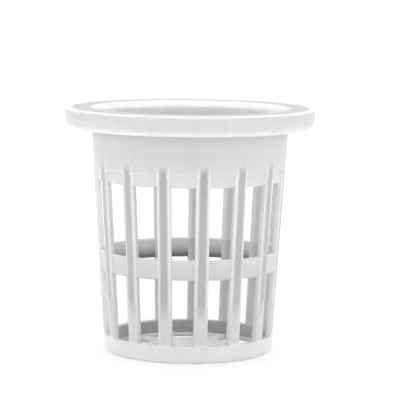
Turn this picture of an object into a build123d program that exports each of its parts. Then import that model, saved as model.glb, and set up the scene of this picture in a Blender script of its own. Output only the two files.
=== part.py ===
"""A hydroponic net pot, moulded in one piece: a tapered basket with a hollow rim.

The pot stands on its base with its axis on Z and the middle of its underside at the origin.
Sizes are in millimetres. The front is -Y, and a window of each row is centred on it.
"""
import os

from build123d import *

# Tapered wall and floor
BODY_DIAMETER = 40.0  # outside of the wall at the level of the rim's lip
BASE_DIAMETER = 34.3  # outside of the wall at the base, before its corner is rounded
WALL = 1.1
FLOOR = 1.0
BASE_CORNER = 1.2  # outside radius where the wall turns into the base

# Heights of the wall's zones, stacked from the base up to the rim
LOWER_BAND = 3.6
LOWER_WINDOW = 13.3
HOOP = 4.1
UPPER_WINDOW = 14.4
SHOULDER = 2.6  # stepped band between the upper windows and the collar
COLLAR = 7.9  # plain wall under the rim
RIM_DEPTH = 4.1

# Hollow rim, a channel open below
CHANNEL = 3.9  # clear width between the wall and the skirt, at the lip
SKIRT = 1.5
RIM_PLATE = 1.4
RIM_TOP_ROUND = 0.9
MOUTH_ROUND = 0.8
LIP_ROUND = 1.1
CHORD_COUNT = 3  # straight chords that each turned round is laid in

# Ribs of the lattice
RIB_COUNT = 15
RIB_FACE = 1.8  # width of a rib at its outer face
RIB_WIDTH = 2.8  # width of a rib behind the slopes beside that face
RIB_SLOPE = 0.6  # depth of those slopes
STEP = 0.4  # how far the hoop and the shoulder lie behind the ribs' outer faces
COLLAR_CORNER = 0.8  # where a rib's slope turns into the collar's edge

# Open base: a hub on spokes, the first spoke in line with a rib
SPOKE_COUNT = 5
HUB_DIAMETER = 17.6
SPOKE_WIDTH = 2.6
BASE_LEDGE = 0.5  # ring of floor left inside the wall
DRAIN_CORNER = 0.6

# Working allowances
OVERCUT = 0.5  # by which a cutter passes the face that it opens
RIB_OVERCUT = 0.3  # by which the space kept for a rib passes the wall's face, over half of OVERCUT
LEVEL = 0.001  # an edge that rises less than this lies level

# Levels and angles that follow from the sizes
HOOP_BOTTOM = LOWER_BAND + LOWER_WINDOW
HOOP_TOP = HOOP_BOTTOM + HOOP
SHOULDER_BOTTOM = HOOP_TOP + UPPER_WINDOW
COLLAR_BOTTOM = SHOULDER_BOTTOM + SHOULDER
LIP_LEVEL = COLLAR_BOTTOM + COLLAR
HEIGHT = LIP_LEVEL + RIM_DEPTH
SKIRT_RADIUS = BODY_DIAMETER / 2 + CHANNEL
RIM_RADIUS = SKIRT_RADIUS + SKIRT
TAPER = (BODY_DIAMETER - BASE_DIAMETER) / 2 / LIP_LEVEL
RIB_PITCH = 360 / RIB_COUNT
SPOKE_PITCH = 360 / SPOKE_COUNT
FRONT = -90  # direction of -Y


def wall_radius(level, inset=0.0):
    """Radius of the wall's outer cone at a level, less an inset."""
    return BASE_DIAMETER / 2 + TAPER * level - inset


def rounded(face, corners):
    """The face with the corner nearest to each given point rounded to the radius beside it."""
    for point, radius in corners:
        corner = face.vertices().sort_by_distance(point)[0]
        face = fillet(corner, radius)
    return face


def chorded(face):
    """The face with each arc of its outline laid as straight chords of equal length."""
    points = []
    for edge in face.face().outer_wire().order_edges():
        chords = CHORD_COUNT if edge.geom_type == GeomType.CIRCLE else 1
        points += [edge @ (index / chords) for index in range(chords)]
    return make_face(Polyline(*points, close=True))


def basket():
    """Wall, floor and hollow rim, turned about the axis from one section."""
    ceiling = HEIGHT - RIM_PLATE
    base_edge = (wall_radius(0), 0)
    lip_outside = (RIM_RADIUS, LIP_LEVEL)
    rim_edge = (RIM_RADIUS, HEIGHT)
    mouth_edge = (wall_radius(HEIGHT, WALL), HEIGHT)
    outline = Polyline(
        (0, 0),
        base_edge,
        (wall_radius(ceiling), ceiling),
        (SKIRT_RADIUS, ceiling),
        (SKIRT_RADIUS, LIP_LEVEL),
        lip_outside,
        rim_edge,
        mouth_edge,
        (wall_radius(FLOOR, WALL), FLOOR),
        (0, FLOOR),
        close=True,
    )
    section = rounded(
        make_face(outline),
        [
            (base_edge, BASE_CORNER),
            (lip_outside, LIP_ROUND),
            (rim_edge, RIM_TOP_ROUND),
            (mouth_edge, MOUTH_ROUND),
        ],
    )
    return revolve(Plane.XZ * chorded(section), Axis.Z)


def sector(outline, angle):
    """A closed outline in the XZ plane turned about Z through an angle, centred on the front."""
    section = make_face(Polyline(*outline, close=True))
    return Rot(0, 0, FRONT - angle / 2) * revolve(Plane.XZ * section, Axis.Z, angle)


def rib_core():
    """The space kept for one rib at the front: straight sides and sloped edges, carried up the wall."""
    half_face = RIB_FACE / 2
    half_width = RIB_WIDTH / 2
    half_beyond = half_face - (half_width - half_face) / RIB_SLOPE * RIB_OVERCUT
    section = make_face(
        Polyline(
            (RIB_OVERCUT, -half_beyond),
            (RIB_OVERCUT, half_beyond),
            (-RIB_SLOPE, half_width),
            (-WALL - OVERCUT, half_width),
            (-WALL - OVERCUT, -half_width),
            (-RIB_SLOPE, -half_width),
            close=True,
        )
    )
    foot = Plane(origin=(wall_radius(0), 0, 0), x_dir=(1, 0, -TAPER), z_dir=(TAPER, 0, 1))
    return Rot(0, 0, FRONT) * extrude(foot * section, HEIGHT)


def between_ribs(bottom, top, inset):
    """What is cut between two ribs from one level to another, in to an inset from the wall's face."""
    overcut = -OVERCUT / 2
    outline = [
        (wall_radius(bottom, inset), bottom),
        (wall_radius(bottom, overcut), bottom),
        (wall_radius(top, overcut), top),
        (wall_radius(top, inset), top),
    ]
    return sector(outline, RIB_PITCH)


def level_edges(solid):
    """The straight edges of a solid that lie level, which are its corners seen from the front."""
    straight = solid.edges().filter_by(GeomType.LINE)
    return straight.filter_by(lambda edge: edge.bounding_box().size.Z < LEVEL)


def lattice_cutter():
    """One column of the lattice at the front: the stepped recess and the two windows through it."""
    through = WALL + OVERCUT / 2
    column = between_ribs(LOWER_BAND, COLLAR_BOTTOM, STEP)
    column += between_ribs(LOWER_BAND, HOOP_BOTTOM, through)
    column += between_ribs(HOOP_TOP, SHOULDER_BOTTOM, through)
    rib = rib_core()
    for side in (-1, 1):
        column -= Rot(0, 0, side * RIB_PITCH / 2) * rib
    inside_shoulder = SHOULDER_BOTTOM + SHOULDER / 2
    collar_corners = level_edges(column).filter_by(lambda edge: edge.center().Z > inside_shoulder)
    return fillet(collar_corners, COLLAR_CORNER)


def drain_cutter():
    """One opening of the base at the front: the sector between two spokes, from the hub to the ledge."""
    hub_radius = HUB_DIAMETER / 2
    reach = wall_radius(0, WALL + BASE_LEDGE)
    outline = [
        (hub_radius, -OVERCUT),
        (reach, -OVERCUT),
        (reach, FLOOR + OVERCUT),
        (hub_radius, FLOOR + OVERCUT),
    ]
    opening = sector(outline, SPOKE_PITCH)
    spoke = Pos(BODY_DIAMETER / 2, 0, FLOOR / 2) * Box(BODY_DIAMETER, SPOKE_WIDTH, FLOOR + 4 * OVERCUT)
    for side in (-1, 1):
        opening -= Rot(0, 0, FRONT + side * SPOKE_PITCH / 2) * spoke
    return fillet(opening.edges().filter_by(Axis.Z), DRAIN_CORNER)


def net_pot():
    """The whole pot: the basket with its lattice columns and its base openings cut out."""
    pot = basket()
    column = lattice_cutter()
    for index in range(RIB_COUNT):
        pot -= Rot(0, 0, index * RIB_PITCH) * column
    drain = drain_cutter()
    first_drain = RIB_PITCH / 2 + SPOKE_PITCH / 2
    for index in range(SPOKE_COUNT):
        pot -= Rot(0, 0, first_drain + index * SPOKE_PITCH) * drain
    return pot


os.makedirs("parts", exist_ok=True)
export_step(net_pot(), "parts/net_pot.step")
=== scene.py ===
"""Looks of the hydroponic net pot: its moulded skin, its milky plastic, a pale studio and the camera."""
import math

import bpy
import numpy as np
from mathutils import Matrix, Vector


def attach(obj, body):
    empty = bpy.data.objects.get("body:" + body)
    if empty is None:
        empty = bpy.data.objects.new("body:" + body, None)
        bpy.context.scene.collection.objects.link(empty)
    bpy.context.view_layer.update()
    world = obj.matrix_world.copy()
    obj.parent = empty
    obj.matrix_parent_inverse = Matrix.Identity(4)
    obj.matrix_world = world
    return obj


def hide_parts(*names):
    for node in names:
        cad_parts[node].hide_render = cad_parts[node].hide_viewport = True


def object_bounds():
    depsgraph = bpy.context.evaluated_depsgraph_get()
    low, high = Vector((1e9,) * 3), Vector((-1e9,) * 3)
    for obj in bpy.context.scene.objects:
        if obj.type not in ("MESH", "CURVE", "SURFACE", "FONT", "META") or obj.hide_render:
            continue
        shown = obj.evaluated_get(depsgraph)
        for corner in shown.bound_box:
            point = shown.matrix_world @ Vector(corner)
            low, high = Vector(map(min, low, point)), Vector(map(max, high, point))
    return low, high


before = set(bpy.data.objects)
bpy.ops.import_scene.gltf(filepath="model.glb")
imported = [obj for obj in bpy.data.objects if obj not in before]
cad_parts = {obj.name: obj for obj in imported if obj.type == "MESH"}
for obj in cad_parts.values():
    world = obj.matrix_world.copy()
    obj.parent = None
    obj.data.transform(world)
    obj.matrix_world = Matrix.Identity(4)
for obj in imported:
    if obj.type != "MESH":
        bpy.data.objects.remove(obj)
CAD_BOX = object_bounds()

MM = 0.001
CAD_NODE = "net_pot"
BODY = "root"

# Overall sizes in millimetres, taken from the frame
HEIGHT = CAD_BOX[1].z / MM
RIM_RADIUS = CAD_BOX[1].x / MM

# Tapered wall and floor, in millimetres
BASE_RADIUS = 17.15
BODY_RADIUS = 20.0  # at the level of the rim's lip
WALL = 1.1
FLOOR = 1.0
BASE_ROUND = 1.2
FLOOR_ROUND = 0.45

# Levels of the wall's zones
LOWER_BAND = 3.6
HOOP_BOTTOM = 16.9
HOOP_TOP = 21.0
SHOULDER_BOTTOM = 35.4
COLLAR_BOTTOM = 38.0
LIP_LEVEL = 45.9

# Hollow rim
SKIRT = 1.5
RIM_PLATE = 1.4
CEILING = HEIGHT - RIM_PLATE
RIM_TOP_ROUND = 0.9
MOUTH_ROUND = 0.8
LIP_ROUND = 1.6  # width of the round from the skirt to the lip
LIP_RISE = 2.4  # height of that round
SKIRT_LEAN = 0.4  # by which the skirt's inside leans in at the lip
LEAN_SHARE = 0.72  # share of that lean at the line above the lip
LIP_INNER_ROUND = 0.25
CHANNEL_ROUND = 0.5

# Lattice
RIB_COUNT = 15
RIB_FACE = 1.8
RIB_WIDTH = 2.8  # behind the slopes beside that face
STEP = 0.4  # how far the hoop and the shoulder lie behind the rib faces
CROWN = 0.14  # by which the middle of a rib's face stands in front of its edges
CROWN_CROSSING = 0.55  # square of the share of the half face at which the crown crosses the cone
RUN_OUT = 3.0  # height over which a rib's crown dies away in the collar
PLAIN_COLLAR = 3.4  # height above its edge at which the collar is plain
COLLAR_SAG = 0.45  # by which the collar's edge drops where it meets a rib
SAG_POWER = 8  # of the distance from a gap's middle, so that the drop lies close to the ribs
EDGE_RISE = 0.3  # by which the lower edges of the hoop and the shoulder rise where they meet a rib

# Depth of plastic that light has to cross, in millimetres; it also paints light and shade, a smaller depth than
# the wall's rendering lighter and a larger one darker
CLEAR_HIGHLIGHT = 0.3  # at the rounded edges and in the hub: painted highlights along the edges and painted light on the hub
BAND_LIT = 0.6  # in the lower band, lighter than its wall: painted light
THIN_LIT = 0.8  # in the walls of the windows and the drains, lighter than their plastic: painted light on them
RIM_SHEET_LIT = 0.95  # in the skirt and in the top of the collar, lighter than their plastic: painted light
SHEET = 1.4  # in the collar, the shoulder and the hoop
INSIDE_LIT = 1.15  # in the upper half, seen from within, lighter than the outside: painted light from the mouth
INSIDE_LOW_SHADE = 1.9  # in the lower half, seen from within, darker: painted shade
PLATE_SHADE = 2.6  # in the rim's plate, deeper than the plate: painted shade on the rim's top
THICK_AND_SHADE = 2.6  # in the ribs, and in the lower band and the floor's corner seen from within, where it is painted shade
DEEP_SHADE = 3.6  # along the foot of the hoop, seen from within: painted shade
RIB_TIP = 2.0  # height over which a thick rib dies away in the collar
RIB_FOOT = (7.8, 12.0)  # levels between which a thick rib dies away in the lower band
FACE_EDGE = 0.3  # share of a rib's half face over which it thickens from its edge
HOOP_SHADE = (0, 0.1, 0.5, 1)  # share of the painted shade down the inside of the hoop
EDGE_SHADE = (0.6, 0.3)  # share of the painted shade along the lower edges of the hoop and the shoulder

# Share of the light that goes straight through, by depth of plastic: a rounded edge scatters most of it
CLEARNESS = ((CLEAR_HIGHLIGHT, 0.25), (THIN_LIT, 0.5), (RIM_SHEET_LIT, 0.48), (SHEET, 0.36), (THICK_AND_SHADE, 0.04))

# Open base
SPOKES_EACH = 3  # ribs from one spoke to the next
HUB_RADIUS = 8.8
SPOKE_WIDTH = 2.6
DRAIN_REACH = 15.55

# Lines that hold the skin between those levels and radii
EDGE = 0.22  # distance of the lines that hold an edge crisp
ROUND_STEPS = 3
SPOKE_LINES = (11.0, 13.3)  # radii across a spoke
BAND_LINE = 2.4  # level in the lower band
BAND_INSIDE_LINE = 2.2
HOOP_LINES = (1.4, 2.7)  # heights above the hoop's foot
COLLAR_LINE = 0.9  # height above the collar's edge
COLLAR_INSIDE_LINE = 39.0
UNDER_LIP = 1.5  # depth under the lip at which the collar's top begins
MOUTH_LINES = (47.5, 44.0)  # levels inside the mouth
WALL_BESIDE = 3  # radii of a round from its corner to the line on the wall beside it
SKIRT_BESIDE = 1.3  # the same on the skirt
PLATE_BESIDE = 1.6  # the same on the rim's plate

TAPER = (BODY_RADIUS - BASE_RADIUS) / LIP_LEVEL
PITCH = 2 * math.pi / RIB_COUNT
FIRST_RIB = -math.pi / 2 + PITCH / 2  # a window is centred on the front
SKIRT_RADIUS = RIM_RADIUS - SKIRT

# Lines across one pitch: the rib's face, its flanks and the gap to the next rib
RIB_LINES = np.array([-1, -0.7, 0, 0.7, 1])
GAP_LINES = np.array([0, 0.08, 0.27, 0.5, 0.73, 0.92, 1])
GAP_START = len(RIB_LINES) + 2
PITCH_LINES = GAP_START + len(GAP_LINES)
BRIDGE_SHARES = (0.3, 0.7)

# Patterns of the plastic, in millimetres
STREAK_WIDTH = 1.6
STREAK_LENGTH = 14
STREAK_DEPTH = 0.36  # by which the depth of plastic changes from streak to streak
GRAIN = 0.8
GRAIN_HEIGHT = 0.05
SCATTER = 1.5  # how far light spreads in the plastic

# Studio, in metres and watts
HORIZON_LIGHT = 1.5
ZENITH_LIGHT = 1.0
FLOOR_REACH = 6.0
FLOOR_CORNERS = ((-1, -1), (1, -1), (1, 1), (-1, 1))
FLOOR_DROP = 0.02 * MM  # by which the floor lies below the pot
SOFTBOXES = (
    ("left_softbox", (-0.45, -0.2, 0.14), 0.4, 0.25, 0.4),
    ("right_softbox", (0.45, -0.2, 0.14), 0.4, 0.25, 0.4),
    ("back_softbox", (0.0, 0.35, 0.45), 0.6, 0.25, 0.6),
)

# Camera, fitted to the photograph's 416 by 416 frame, in pixels, millimetres and radians
IMAGE_SIDE = 416
FOCAL_PIXELS = 2274.2
CAMERA_DISTANCE = 462.2
CAMERA_HEIGHT = 84.1
CAMERA_ROUND = math.radians(3.76)  # how far round the pot, from the front towards +X
CAMERA_PITCH = 0.1178
CAMERA_YAW = 0.0082
CAMERA_ROLL = 0.0105


def cone(level, depth=0.0):
    """Radius of the wall at a level: the base radius plus the taper times the level, less a depth."""
    return BASE_RADIUS + TAPER * np.asarray(level, float) - depth


def turn_round(before, corner, after, radius, steps=ROUND_STEPS):
    """Points of the arc that rounds a corner of a profile.

    The centre lies on the corner's bisector, the radius over the sine of half its angle away. The
    arc's spokes are the two end spokes mixed by the sines of their angles, so the points lie evenly.
    """
    before, corner, after = (np.asarray(point, float) for point in (before, corner, after))
    one = (before - corner) / np.linalg.norm(before - corner)
    other = (after - corner) / np.linalg.norm(after - corner)
    half = math.acos(float(one @ other)) / 2
    bisector = (one + other) / np.linalg.norm(one + other)
    centre = corner + bisector * radius / math.sin(half)
    first = corner + one * radius / math.tan(half) - centre
    last = corner + other * radius / math.tan(half) - centre
    sweep = math.pi - 2 * half
    share = np.linspace(0, 1, steps + 1)[:, None]
    return centre + (np.sin((1 - share) * sweep) * first + np.sin(share * sweep) * last) / math.sin(sweep)


def turned(points, half_face, half_root, plastic):
    """Rows of a profile that ribs and gaps share, as columns: rib radius and level, gap radius and level,
    half the rib's face, half its root and the depth of plastic with its painted light and shade, one for all
    rows or one for each."""
    points = np.vstack([np.atleast_2d(np.asarray(point, float)) for point in points])
    constants = np.broadcast_to([half_face, half_root], (len(points), 2))
    depths = np.broadcast_to(plastic, len(points))[:, None]
    return np.hstack([points, points, constants, depths])


def stepped(levels, half_face, half_root, plastic, inset=0.0):
    """Rows of the wall where gaps may lie deeper than ribs, from (rib level, gap level, gap depth), in the
    columns of turned. Each radius is the cone's at that level, less the inset and the depth."""
    rib_level, gap_level, depth = np.asarray(levels, float).T
    rib_points = np.stack([cone(rib_level, inset), rib_level], 1)
    gap_points = np.stack([cone(gap_level, inset + depth), gap_level], 1)
    constants = np.broadcast_to([half_face, half_root], (len(levels), 2))
    depths = np.broadcast_to(plastic, len(levels))[:, None]
    return np.hstack([rib_points, gap_points, constants, depths])


def flush(levels):
    """Rows for stepped with ribs and gaps at one depth and level."""
    return [(level, level, 0.0) for level in levels]


def recessed(levels):
    """Rows for stepped with the gaps a step behind the ribs, at one level."""
    return [(level, level, STEP) for level in levels]


def window_levels(bottom, top):
    """Levels down the side of a window: its two ends, a line close to each and two between."""
    return np.array([bottom, bottom + 2 * EDGE, *np.linspace(bottom, top, 4)[1:3], top - 2 * EDGE, top])


def lip_round(steps=4):
    """Points of a quarter ellipse from the lip up into the skirt: the radius falls short of the rim by the
    round's width times one less the sine, and the level grows by its height times one less the cosine."""
    angle = np.linspace(0, math.pi / 2, steps + 1)
    radius = RIM_RADIUS - LIP_ROUND * (1 - np.sin(angle))
    return np.stack([radius, LIP_LEVEL + LIP_RISE * (1 - np.cos(angle))], 1)


def profile_blocks():
    """The pot's section as named blocks of rows, from the middle of the underside, up the outside, over the
    rim and down the inside to the middle of the floor."""
    face = RIB_FACE / 2
    root = inner_root = RIB_WIDTH / 2
    inner_face = inner_root - 2 * EDGE
    spoke = SPOKE_WIDTH / 2
    drain_radii = np.array([HUB_RADIUS, HUB_RADIUS + 2 * EDGE, *SPOKE_LINES, DRAIN_REACH - 2 * EDGE, DRAIN_REACH])
    hub_radii = np.array([HUB_RADIUS / 2, HUB_RADIUS - EDGE])
    lower_levels = window_levels(LOWER_BAND, HOOP_BOTTOM)
    upper_levels = window_levels(HOOP_TOP, SHOULDER_BOTTOM)
    hoop_levels = [HOOP_BOTTOM + height for height in (2 * EDGE, *HOOP_LINES)] + [HOOP_TOP - EDGE]

    base_corner = (BASE_RADIUS, 0)
    floor_corner = (cone(FLOOR, WALL), FLOOR)
    channel_inner = (cone(CEILING), CEILING)
    channel_outer = (SKIRT_RADIUS, CEILING)
    lip_inner = (SKIRT_RADIUS - SKIRT_LEAN, LIP_LEVEL)
    lip_outer = (RIM_RADIUS, LIP_LEVEL)
    rim_top = (RIM_RADIUS, HEIGHT)
    mouth = (cone(HEIGHT, WALL), HEIGHT)
    wall_foot = (cone(LOWER_BAND), LOWER_BAND)
    inner_foot = (cone(LOWER_BAND, WALL), LOWER_BAND)
    collar_lip = (cone(LIP_LEVEL), LIP_LEVEL)

    under = [(radius, 0) for radius in drain_radii]
    above = [(radius, FLOOR) for radius in drain_radii[::-1]]
    channel = [
        (cone(CEILING - WALL_BESIDE * CHANNEL_ROUND), CEILING - WALL_BESIDE * CHANNEL_ROUND),
        turn_round(collar_lip, channel_inner, channel_outer, CHANNEL_ROUND),
        ((cone(CEILING) + SKIRT_RADIUS) / 2, CEILING),
        turn_round(channel_inner, channel_outer, lip_inner, CHANNEL_ROUND),
        (SKIRT_RADIUS - LEAN_SHARE * SKIRT_LEAN, LIP_LEVEL + WALL_BESIDE * LIP_INNER_ROUND),
    ]
    lip = [turn_round(channel_outer, lip_inner, lip_outer, LIP_INNER_ROUND, 2), lip_round()]
    skirt_levels = (LIP_LEVEL + LIP_RISE + EDGE, HEIGHT - SKIRT_BESIDE * RIM_TOP_ROUND)
    skirt = [(RIM_RADIUS, level) for level in skirt_levels]
    # painted highlight: the clear depth lights the rim's rounded top edge
    rim_round_highlight_depths = (RIM_SHEET_LIT, RIM_SHEET_LIT, BAND_LIT, CLEAR_HIGHLIGHT, CLEAR_HIGHLIGHT)
    rim_plate = [
        (RIM_RADIUS - PLATE_BESIDE * RIM_TOP_ROUND, HEIGHT),
        ((RIM_RADIUS + mouth[0]) / 2, HEIGHT),
        (mouth[0] + PLATE_BESIDE * MOUTH_ROUND, HEIGHT),
    ]
    band_edge = [
        (LOWER_BAND, LOWER_BAND, 0),
        (LOWER_BAND + EDGE, LOWER_BAND, STEP / 2),
    ]
    collar_edge = [
        (COLLAR_BOTTOM - 3 * EDGE, COLLAR_BOTTOM - EDGE, STEP),
        (COLLAR_BOTTOM - 2 * EDGE, COLLAR_BOTTOM, STEP),
        (COLLAR_BOTTOM - EDGE, COLLAR_BOTTOM, STEP / 2),
        (COLLAR_BOTTOM, COLLAR_BOTTOM, 0),
        (COLLAR_BOTTOM + EDGE, COLLAR_BOTTOM + EDGE, 0),
    ]
    # painted highlight: a clear, pale line along the collar's edge
    collar_edge_highlight_depths = (SHEET, THIN_LIT, CLEAR_HIGHLIGHT, CLEAR_HIGHLIGHT, SHEET)
    collar_levels = [COLLAR_BOTTOM + height for height in (COLLAR_LINE, RIB_TIP, PLAIN_COLLAR)]
    shoulder_levels = [SHOULDER_BOTTOM + EDGE, (SHOULDER_BOTTOM + COLLAR_BOTTOM) / 2]
    lower_window = recessed(lower_levels)
    lower_window[0] = (LOWER_BAND + 2 * EDGE, LOWER_BAND, STEP)
    lower_window[1] = (LOWER_BAND + 3 * EDGE, LOWER_BAND + 2 * EDGE, STEP)
    return {
        # painted light on the hub and on the underside round the drains
        "hub_under": turned([(radius, 0) for radius in hub_radii], face, spoke, CLEAR_HIGHLIGHT),
        "drain_under": turned(under, face, spoke, THIN_LIT),
        "base": turned([turn_round((0, 0), base_corner, wall_foot, BASE_ROUND, 4)], face, root, BAND_LIT),
        "band": stepped(flush([BAND_LINE, LOWER_BAND - EDGE]) + band_edge, face, root, BAND_LIT),
        "lower_window": stepped(lower_window, face, root, SHEET),
        "hoop": stepped(recessed(hoop_levels), face, root, SHEET),
        "upper_window": stepped(recessed(upper_levels), face, root, SHEET),
        "shoulder": stepped(recessed(shoulder_levels), face, root, SHEET),
        "collar_edge": stepped(collar_edge, face, root, collar_edge_highlight_depths),
        "collar": stepped(flush(collar_levels), face, root, SHEET),
        # painted light: the top of the collar is lighter against the shade under the lip
        "collar_top": stepped(flush([LIP_LEVEL - UNDER_LIP, LIP_LEVEL]), face, root, RIM_SHEET_LIT),
        "channel": turned(channel, face, root, RIM_SHEET_LIT),
        # painted highlight along the lip's rounded edge
        "lip": turned(lip, face, root, (CLEAR_HIGHLIGHT, CLEAR_HIGHLIGHT, CLEAR_HIGHLIGHT, CLEAR_HIGHLIGHT, CLEAR_HIGHLIGHT, BAND_LIT, RIM_SHEET_LIT, RIM_SHEET_LIT)),
        # painted light: the skirt is lighter than its plastic
        "skirt": turned(skirt, face, root, RIM_SHEET_LIT),
        "rim_round": turned([turn_round(lip_outer, rim_top, mouth, RIM_TOP_ROUND, 4)], face, root, rim_round_highlight_depths),
        # painted shade on the top of the rim
        "rim_plate": turned(rim_plate, face, root, PLATE_SHADE),
        # painted highlight along the mouth's rounded edge
        "mouth": turned([turn_round(rim_top, mouth, inner_foot, MOUTH_ROUND, 4)], face, root, CLEAR_HIGHLIGHT),
        "mouth_inside": stepped(flush(MOUTH_LINES), inner_face, inner_root, SHEET, WALL),
        # painted light on the upper inside
        "collar_inside": stepped(
            flush([COLLAR_INSIDE_LINE, SHOULDER_BOTTOM + EDGE]), inner_face, inner_root, INSIDE_LIT, WALL
        ),
        "upper_window_inside": stepped(flush(upper_levels[::-1]), inner_face, inner_root, INSIDE_LIT, WALL),
        # painted shade on the lower inside, darkest along the hoop's foot
        "hoop_inside": stepped(flush(hoop_levels[::-1]), inner_face, inner_root, INSIDE_LOW_SHADE, WALL),
        # painted shade on the lower inside
        "lower_window_inside": stepped(flush(lower_levels[::-1]), inner_face, inner_root, INSIDE_LOW_SHADE, WALL),
        # painted shade in the lower band, seen from within
        "band_inside": stepped(
            flush([LOWER_BAND - EDGE, BAND_INSIDE_LINE]), inner_face, inner_root, THICK_AND_SHADE, WALL
        ),
        # painted shade in the corner between the floor and the wall
        "floor_edge": turned([turn_round(inner_foot, floor_corner, (0, FLOOR), FLOOR_ROUND)], face, spoke, THICK_AND_SHADE),
        # painted shade at the floor's corner, then painted light over the floor, the drains' surround and the hub
        "drain_above": turned(above, face, spoke, (THICK_AND_SHADE, CLEAR_HIGHLIGHT, CLEAR_HIGHLIGHT, CLEAR_HIGHLIGHT, CLEAR_HIGHLIGHT, CLEAR_HIGHLIGHT)),
        "hub_above": turned([(radius, FLOOR) for radius in hub_radii[::-1]], face, spoke, CLEAR_HIGHLIGHT),
    }


def skin_points(rows, crown_weight, sag, rib_weight, painted_shade_weight):
    """Points of the skin on a grid of rows by lines round the axis, each with its depth of plastic and painted
    light.

    A rib's line lies at its share of the half width over the radius from the rib's middle, and inside
    the hub at the angle that it has at the hub's edge. The flank's line lies half way from face to root.
    A gap's line lies at its share of the angle between the roots of two ribs. A rib's face bulges by the
    crown times a constant less the square of its share. A gap's level drops by the row's sag times a
    high power of the distance from the gap's middle. By the rib's weight the depth grows towards thick
    on a rib's face and falls towards clear on its flanks, a painted highlight, and by the painted shade
    weight it grows in the gap, a painted shade.
    """
    columns = (column[:, None] for column in rows.T)
    rib_radius, rib_level, gap_radius, gap_level, half_face, half_root, plastic = columns
    ones = np.ones(len(GAP_LINES))
    root = half_root / np.maximum(gap_radius, HUB_RADIUS)
    rib_angle = RIB_LINES * half_face / np.maximum(rib_radius, HUB_RADIUS)
    flank = (rib_angle[:, -1:] + root) / 2
    gap_angle = root + GAP_LINES * (PITCH - 2 * root)
    angle = np.hstack([-flank, rib_angle, flank, gap_angle])
    bulge = CROWN * crown_weight[:, None] * (CROWN_CROSSING - RIB_LINES**2)
    flank_radius = (rib_radius + gap_radius) / 2
    radius = np.hstack([flank_radius, rib_radius + bulge, flank_radius, gap_radius * ones])
    gap_levels = gap_level - sag[:, None] * np.abs(2 * GAP_LINES - 1) ** SAG_POWER
    flank_level = (rib_level + gap_levels[:, :1]) / 2
    level = np.hstack([flank_level, rib_level + 0 * RIB_LINES, flank_level, gap_levels])
    thickened = np.clip((1 - np.abs(RIB_LINES)) / FACE_EDGE, 0, 1)
    rib_plastic = plastic + (THICK_AND_SHADE - plastic) * rib_weight[:, None] * thickened
    # painted highlight along the ribs' flanks
    flank_highlight_depth = plastic + (CLEAR_HIGHLIGHT - plastic) * rib_weight[:, None]
    # painted shade in the gaps, by the painted shade weight
    gap_depth_and_shade = plastic + (DEEP_SHADE - plastic) * painted_shade_weight[:, None]
    depth = np.hstack([flank_highlight_depth, rib_plastic, flank_highlight_depth, gap_depth_and_shade * ones])
    turn = FIRST_RIB + PITCH * np.arange(RIB_COUNT)[None, :, None] + angle[:, None, :]
    radius, level, depth = (np.repeat(values[:, None, :], RIB_COUNT, 1) for values in (radius, level, depth))
    points = np.stack([radius * np.cos(turn), radius * np.sin(turn), level, depth], -1)
    return points.reshape(len(rows), -1, 4)


def hole_rings(rows, lines, line_count):
    """Numbers of the points round each hole, in the order up one side and down the other: along the first
    row, up the last line, back along the last row and down the first line."""
    across = lines[:, None, :] % line_count
    number = rows[None, :, None] * line_count + across
    along = number[:, 0, :-1]
    up = number[:, :-1, -1]
    back = number[:, -1, :0:-1]
    down = number[:, :0:-1, 0]
    return np.hstack([along, up, back, down])


def bridge(points, outer, inner, shares):
    """Wall of each hole: rings between the outer and the inner ring, each point a share of the way along
    the straight line between the two and at the thin depth, a painted light on the wall, and the quads from ring
    to ring."""
    first_new = len(points)
    layers = [outer]
    for share in shares:
        ring = (1 - share) * points[outer] + share * points[inner]
        # painted light: the holes' walls are lighter than their plastic
        ring[..., 3] = THIN_LIT
        points = np.vstack([points, ring.reshape(-1, 4)])
        layers.append(first_new + np.arange(outer.size).reshape(outer.shape))
        first_new = len(points)
    layers.append(inner)
    quads = []
    for near, far in zip(layers[:-1], layers[1:]):
        ahead_near = np.roll(near, -1, 1)
        ahead_far = np.roll(far, -1, 1)
        quads.append(np.stack([near, ahead_near, ahead_far, far], -1).reshape(-1, 4))
    return points, np.vstack(quads)


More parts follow.
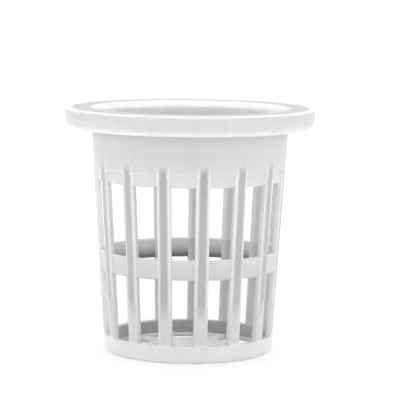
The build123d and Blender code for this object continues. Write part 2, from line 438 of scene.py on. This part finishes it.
def pot_skin():
    """Points, depths of plastic with their painted light and shade, and faces of the whole pot: one closed grid
    from the middle of the underside to the middle of the floor, with its windows and drains left out and their
    walls bridged from the outer to the inner grid."""
    blocks = profile_blocks()
    names = list(blocks)
    sizes = np.array([len(blocks[name]) for name in names])
    starts = dict(zip(names, np.cumsum(sizes) - sizes))
    span = {name: starts[name] + np.arange(len(blocks[name])) for name in names}
    rows = np.vstack(list(blocks.values()))
    line_count = RIB_COUNT * PITCH_LINES

    lattice_names = ("band", "lower_window", "hoop", "upper_window", "shoulder", "collar_edge")
    lattice = np.concatenate([span[name] for name in lattice_names])
    crown_weight = np.zeros(len(rows))
    crown_weight[lattice] = np.clip((rows[lattice, 1] - LOWER_BAND) / RUN_OUT, 0, 1)
    collar = span["collar"]
    crown_weight[collar] = np.clip(1 - (rows[collar, 1] - COLLAR_BOTTOM) / RUN_OUT, 0, 1)
    sag = np.zeros(len(rows))
    sag[span["collar_edge"][1:]] = COLLAR_SAG
    lower_edges = [span["lower_window"][-1], span["upper_window"][-1]]
    sag[lower_edges] = -EDGE_RISE
    painted_shade_weight = np.zeros(len(rows))
    painted_shade_weight[span["hoop_inside"]] = HOOP_SHADE
    painted_shade_weight[span["lower_window_inside"][0]] = 1
    painted_shade_weight[lower_edges] = EDGE_SHADE
    ribbed = np.concatenate([lattice, collar])
    tip = np.clip((rows[:, 1] - COLLAR_BOTTOM) / RIB_TIP, 0, 1)
    foot = np.clip((rows[:, 1] - RIB_FOOT[0]) / (RIB_FOOT[1] - RIB_FOOT[0]), 0, 1)
    rib_weight = np.zeros(len(rows))
    rib_weight[ribbed] = (foot * (1 - tip))[ribbed]
    points = skin_points(rows, crown_weight, sag, rib_weight, painted_shade_weight)

    number = np.arange(len(rows) * line_count).reshape(len(rows), line_count)
    ahead = np.roll(number, -1, 1)
    cells = np.stack([number[:-1], ahead[:-1], ahead[1:], number[1:]], -1)
    keep = np.ones(cells.shape[:2], bool)
    gap_lines = PITCH_LINES * np.arange(RIB_COUNT)[:, None] + GAP_START + np.arange(len(GAP_LINES))
    spokes = np.arange(0, RIB_COUNT, SPOKES_EACH)
    drain_lines = PITCH_LINES * spokes[:, None] + np.arange(GAP_START, SPOKES_EACH * PITCH_LINES)
    holes = [
        ("lower_window", "lower_window_inside", gap_lines),
        ("upper_window", "upper_window_inside", gap_lines),
        ("drain_under", "drain_above", drain_lines),
    ]
    flat_points = points.reshape(-1, 4)
    walls = []
    for outside, inside, lines in holes:
        for name in (outside, inside):
            keep[np.ix_(span[name][:-1], (lines[:, :-1] % line_count).ravel())] = False
        outer = hole_rings(span[outside], lines, line_count)
        inner = hole_rings(span[inside][::-1], lines, line_count)
        flat_points, quads = bridge(flat_points, outer, inner, BRIDGE_SHARES)
        walls.append(quads)

    middle = len(flat_points)
    flat_points = np.vstack([flat_points, [[0, 0, 0, CLEAR_HIGHLIGHT], [0, 0, FLOOR, CLEAR_HIGHLIGHT]]])
    under_fan = np.stack([np.full(line_count, middle), ahead[0], number[0]], -1)
    floor_fan = np.stack([number[-1], ahead[-1], np.full(line_count, middle + 1)], -1)
    quads = np.vstack([cells[keep], *walls])
    fans = np.vstack([under_fan, floor_fan])
    used, renumbered = np.unique(np.concatenate([quads.ravel(), fans.ravel()]), return_inverse=True)
    quads = renumbered[: quads.size].reshape(-1, 4)
    fans = renumbered[quads.size :].reshape(-1, 3)
    return flat_points[used, :3] * MM, flat_points[used, 3], quads, fans


def hex_colour(code):
    """Linear colour of an sRGB hex code: each channel to the power that the sRGB curve gives it."""
    channels = np.array([int(code[start : start + 2], 16) / 255 for start in (1, 3, 5)])
    linear = np.where(channels <= 0.04045, channels / 12.92, ((channels + 0.055) / 1.055) ** 2.4)
    return (*linear.tolist(), 1.0)


def add_node(tree, kind, settings=None, inputs=None, links=None):
    """Adds a node with its settings, its input values and its links from other nodes' outputs."""
    node = tree.nodes.new(kind)
    for name, value in (settings or {}).items():
        setattr(node, name, value)
    for name, value in (inputs or {}).items():
        node.inputs[name].default_value = value
    for name, output in (links or {}).items():
        tree.links.new(output, node.inputs[name])
    return node


def set_ramp(ramp, stops):
    """Gives a ramp its grey stops, from pairs of a depth of plastic and a value."""
    while len(ramp.elements) < len(stops):
        ramp.elements.new(1.0)
    for element, (depth, value) in zip(ramp.elements, stops):
        element.position = (depth - CLEAR_HIGHLIGHT) / (DEEP_SHADE - CLEAR_HIGHLIGHT)
        element.color = (value, value, value, 1.0)


def new_tree(owner):
    """The empty node tree of a material or of the world."""
    owner.use_nodes = True
    owner.node_tree.nodes.clear()
    return owner.node_tree


def natural_polypropylene():
    """Natural polypropylene, injection moulded: uncoloured and milky. Light passes through it and scatters, so
    thin walls glow with what is behind them, and the mould leaves a soft gloss with faint flow clouds."""
    material = bpy.data.materials.new("natural_polypropylene_moulded")
    tree = new_tree(material)
    place = add_node(tree, "ShaderNodeTexCoord").outputs["Object"]
    depth = add_node(tree, "ShaderNodeAttribute", settings={"attribute_name": "plastic_depth_and_painted_light"}).outputs["Fac"]
    flow = add_node(
        tree,
        "ShaderNodeMapping",
        inputs={"Scale": (1 / (STREAK_WIDTH * MM), 1 / (STREAK_WIDTH * MM), 1 / (STREAK_LENGTH * MM))},
        links={"Vector": place},
    )
    streaks = add_node(
        tree,
        "ShaderNodeTexNoise",
        inputs={"Scale": 1.0, "Detail": 3.0, "Roughness": 0.55},
        links={"Vector": flow.outputs["Vector"]},
    )
    cloudy_depth = add_node(
        tree,
        "ShaderNodeMath",
        settings={"operation": "MULTIPLY_ADD"},
        inputs={1: STREAK_DEPTH, 2: -STREAK_DEPTH / 2},
        links={0: streaks.outputs["Fac"]},
    )
    whole_depth = add_node(
        tree,
        "ShaderNodeMath",
        settings={"operation": "ADD"},
        links={0: depth, 1: cloudy_depth.outputs[0]},
    )
    share = add_node(
        tree,
        "ShaderNodeMapRange",
        inputs={"From Min": CLEAR_HIGHLIGHT, "From Max": DEEP_SHADE},
        links={"Value": whole_depth.outputs[0]},
    )
    clearness = add_node(tree, "ShaderNodeValToRGB", links={"Fac": share.outputs["Result"]})
    set_ramp(clearness.color_ramp, CLEARNESS)
    # the tint follows the depth, so the painted light and shade carried by the depth reach the colour here
    tint = add_node(
        tree,
        "ShaderNodeMix",
        settings={"data_type": "RGBA"},
        inputs={6: hex_colour("#fafafa"), 7: hex_colour("#747474")},
        links={0: share.outputs["Result"]},
    )
    grain = add_node(
        tree,
        "ShaderNodeTexNoise",
        inputs={"Scale": 1 / (GRAIN * MM), "Detail": 2.0},
        links={"Vector": place},
    )
    bump = add_node(
        tree,
        "ShaderNodeBump",
        inputs={"Strength": 0.08, "Distance": GRAIN_HEIGHT * MM},
        links={"Height": grain.outputs["Fac"]},
    )
    plastic = add_node(
        tree,
        "ShaderNodeBsdfPrincipled",
        inputs={
            "Roughness": 0.28,
            "IOR": 1.49,
            "Specular IOR Level": 0.08,
            "Subsurface Weight": 1.0,
            "Subsurface Radius": (1, 1, 1),
            "Subsurface Scale": SCATTER * MM,
        },
        links={
            "Base Color": tint.outputs[2],
            "Transmission Weight": clearness.outputs["Color"],
            "Normal": bump.outputs["Normal"],
        },
    )
    add_node(tree, "ShaderNodeOutputMaterial", links={"Surface": plastic.outputs["BSDF"]})
    return material


def moulded_pot(material):
    """The pot's skin as one object, smoothed, standing for the solid of the frame."""
    points, depths, quads, fans = pot_skin()
    mesh = bpy.data.meshes.new("moulded_net_pot")
    mesh.from_pydata(points.tolist(), [], quads.tolist() + fans.tolist())
    mesh.polygons.foreach_set("use_smooth", np.ones(len(mesh.polygons), bool))
    mesh.attributes.new("plastic_depth_and_painted_light", "FLOAT", "POINT").data.foreach_set("value", depths)
    mesh.materials.append(material)
    pot = bpy.data.objects.new("moulded_net_pot", mesh)
    bpy.context.scene.collection.objects.link(pot)
    smooth = pot.modifiers.new("moulded_edges", "SUBSURF")
    smooth.levels = smooth.render_levels = 1
    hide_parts(CAD_NODE)
    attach(pot, BODY)


def seen_white(tree):
    """A factor that is one for rays from the camera, from gloss and through the plastic, else zero."""
    path = add_node(tree, "ShaderNodeLightPath")
    kinds = [path.outputs[name] for name in ("Is Camera Ray", "Is Glossy Ray", "Is Transmission Ray")]
    total = kinds[0]
    for kind in kinds[1:]:
        either = add_node(tree, "ShaderNodeMath", settings={"operation": "MAXIMUM"}, links={0: total, 1: kind})
        total = either.outputs[0]
    return total


def studio_world():
    """White surroundings: plain white where they are seen, and a soft light on the object that is stronger from
    the sides than from above."""
    world = bpy.data.worlds.new("studio")
    tree = new_tree(world)
    seen = add_node(tree, "ShaderNodeBackground", inputs={"Color": hex_colour("#ffffff"), "Strength": 1.0})
    direction = add_node(tree, "ShaderNodeTexCoord").outputs["Generated"]
    height = add_node(tree, "ShaderNodeSeparateXYZ", links={"Vector": direction}).outputs["Z"]
    level = add_node(
        tree,
        "ShaderNodeMapRange",
        inputs={"From Min": 0.0, "From Max": 1.0, "To Min": HORIZON_LIGHT, "To Max": ZENITH_LIGHT},
        links={"Value": height},
    )
    light = add_node(
        tree,
        "ShaderNodeBackground",
        inputs={"Color": hex_colour("#ffffff")},
        links={"Strength": level.outputs["Result"]},
    )
    mix = add_node(
        tree,
        "ShaderNodeMixShader",
        links={0: seen_white(tree), 1: light.outputs[0], 2: seen.outputs[0]},
    )
    add_node(tree, "ShaderNodeOutputWorld", links={"Surface": mix.outputs[0]})
    bpy.context.scene.world = world


def pale_floor():
    """A wide floor under the pot: plain white to the light, and where it is seen partly white of its own, so
    that the pot's shadow on it is kept but stays faint."""
    mesh = bpy.data.meshes.new("floor")
    corners = [(across * FLOOR_REACH, back * FLOOR_REACH, -FLOOR_DROP) for across, back in FLOOR_CORNERS]
    mesh.from_pydata(corners, [], [(0, 1, 2, 3)])
    floor = bpy.data.objects.new("floor", mesh)
    bpy.context.scene.collection.objects.link(floor)
    material = bpy.data.materials.new("white_floor")
    tree = new_tree(material)
    paint = add_node(tree, "ShaderNodeBsdfDiffuse", inputs={"Color": hex_colour("#fafafa")})
    shaded = add_node(tree, "ShaderNodeBsdfDiffuse", inputs={"Color": hex_colour("#949494")})
    glow = add_node(tree, "ShaderNodeEmission", inputs={"Color": hex_colour("#d4d4d4"), "Strength": 1.0})
    look = add_node(tree, "ShaderNodeAddShader", links={0: shaded.outputs[0], 1: glow.outputs[0]})
    mix = add_node(
        tree,
        "ShaderNodeMixShader",
        links={0: seen_white(tree), 1: paint.outputs[0], 2: look.outputs[0]},
    )
    add_node(tree, "ShaderNodeOutputMaterial", links={"Surface": mix.outputs[0]})
    mesh.materials.append(material)


def softbox(name, place, width, height, watts):
    """A rectangular soft lamp at a place in metres, turned to the middle of the pot."""
    lamp = bpy.data.lights.new(name, "AREA")
    lamp.shape = "RECTANGLE"
    lamp.size = width
    lamp.size_y = height
    lamp.energy = watts
    box = bpy.data.objects.new(name, lamp)
    bpy.context.scene.collection.objects.link(box)
    aim = Vector((0, 0, HEIGHT * MM / 2)) - Vector(place)
    box.location = place
    box.rotation_euler = aim.to_track_quat("-Z", "Y").to_euler()


def photo_camera():
    """The camera: it looks down by its pitch and aside by its yaw, then rolls about its own axis."""
    lens = bpy.data.cameras.new("camera")
    lens.sensor_width = 36.0
    lens.lens = lens.sensor_width * FOCAL_PIXELS / IMAGE_SIDE
    lens.clip_start = 0.01
    lens.clip_end = 50.0
    ahead = Vector(
        (
            math.sin(CAMERA_YAW) * math.cos(CAMERA_PITCH),
            math.cos(CAMERA_YAW) * math.cos(CAMERA_PITCH),
            -math.sin(CAMERA_PITCH),
        )
    )
    level = Vector((math.cos(CAMERA_YAW), -math.sin(CAMERA_YAW), 0))
    upright = level.cross(ahead)
    right = level * math.cos(CAMERA_ROLL) + upright * math.sin(CAMERA_ROLL)
    up = upright * math.cos(CAMERA_ROLL) - level * math.sin(CAMERA_ROLL)
    axes = Matrix((right, up, -ahead)).transposed().to_4x4()
    place = Matrix.Translation(Vector((0, -CAMERA_DISTANCE, CAMERA_HEIGHT)) * MM)
    camera = bpy.data.objects.new("camera", lens)
    bpy.context.scene.collection.objects.link(camera)
    camera.matrix_world = Matrix.Rotation(CAMERA_ROUND, 4, "Z") @ place @ axes
    bpy.context.scene.camera = camera


bpy.context.scene.view_settings.view_transform = "Standard"
moulded_pot(natural_polypropylene())
studio_world()
pale_floor()
for lamp_settings in SOFTBOXES:
    softbox(*lamp_settings)
photo_camera()
